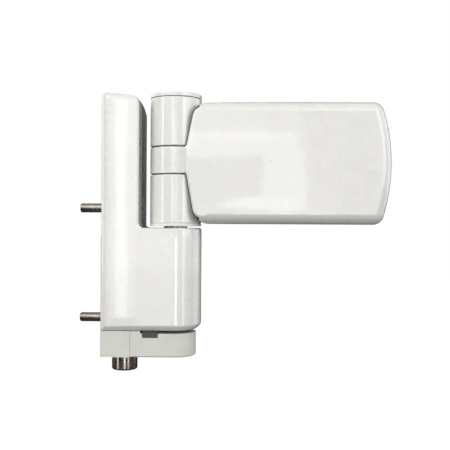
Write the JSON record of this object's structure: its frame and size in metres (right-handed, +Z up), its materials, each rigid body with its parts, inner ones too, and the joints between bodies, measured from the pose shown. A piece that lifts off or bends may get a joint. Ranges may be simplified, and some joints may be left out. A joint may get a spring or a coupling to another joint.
{
  "type": "flag hinge",
  "caption": "Surface-mounted door flag hinge: upright frame part with locating pins, round barrel and a wide flag with a curved end, adjustable sideways and in height.",
  "frame": {"origin": "on the face fixed to the door frame, midway between the two locating pins", "axes": "+X from the frame face towards the flag, +Y away from the front, +Z up along the hinge axis"},
  "size_m": [0.1327, 0.0274, 0.1185],
  "materials": {
    "white_gloss": "gloss white",
    "casting_grey": "matt pale grey",
    "white_bearing": "smooth white",
    "bare_pin": "turned",
    "nickel": "satin nickel",
    "dark_clip": "matt dark grey"
  },
  "bodies": {
    "frame_side": {"mounting_plate": "casting_grey", "locating_pin_lower": "bare_pin", "locating_pin_upper": "bare_pin", "spindle_stop_pin": "nickel"},
    "lateral_spindle": {"lateral_spindle": "nickel"},
    "carrier": {"carrier": "casting_grey", "carrier_bush": "white_bearing", "clamp_screw_lower": "nickel", "clamp_screw_upper": "nickel", "pin_lock_screw": "nickel", "frame_cover": "white_gloss", "cover_clip": "dark_clip"},
    "pin": {"hinge_pin": "bare_pin", "thrust_washer": "white_bearing", "lower_sleeve": "white_gloss", "upper_sleeve": "white_gloss", "top_cap": "white_gloss"},
    "height_screw": {"height_screw": "nickel"},
    "flag": {"flag_leaf": "casting_grey", "lower_leaf_bush": "white_bearing", "upper_leaf_bush": "white_bearing", "flag_cover": "white_gloss"}
  },
  "joints": [
    {"name": "lateral_slide", "type": "slide", "parent": "frame_side", "child": "carrier", "axis": [1, 0, 0], "range_m": [0, 0.00283]},
    {"name": "lateral_spindle_turn", "type": "hinge", "parent": "frame_side", "child": "lateral_spindle", "pos_m": [0.0092, 0, -0.035], "axis": [0, 0, 1], "range_deg": [0, 90.2]},
    {"name": "height_slide", "type": "slide", "parent": "carrier", "child": "pin", "axis": [0, 0, 1], "range_m": [0, 0.004]},
    {"name": "height_screw_turn", "type": "hinge", "parent": "pin", "child": "height_screw", "pos_m": [0.031, 0, -0.02], "axis": [0, 0, 1], "range_deg": [0, 1153]},
    {"name": "door_swing", "type": "hinge", "parent": "pin", "child": "flag", "pos_m": [0.031, 0, 0.0437], "axis": [0, 0, 1], "range_deg": [-90, 90]}
  ],
  "couplings": [
    {"joint": "lateral_spindle_turn", "follows": "lateral_slide", "rad_per_m": 555.36},
    {"joint": "height_screw_turn", "follows": "height_slide", "rad_per_m": 5026.5}
  ]
}
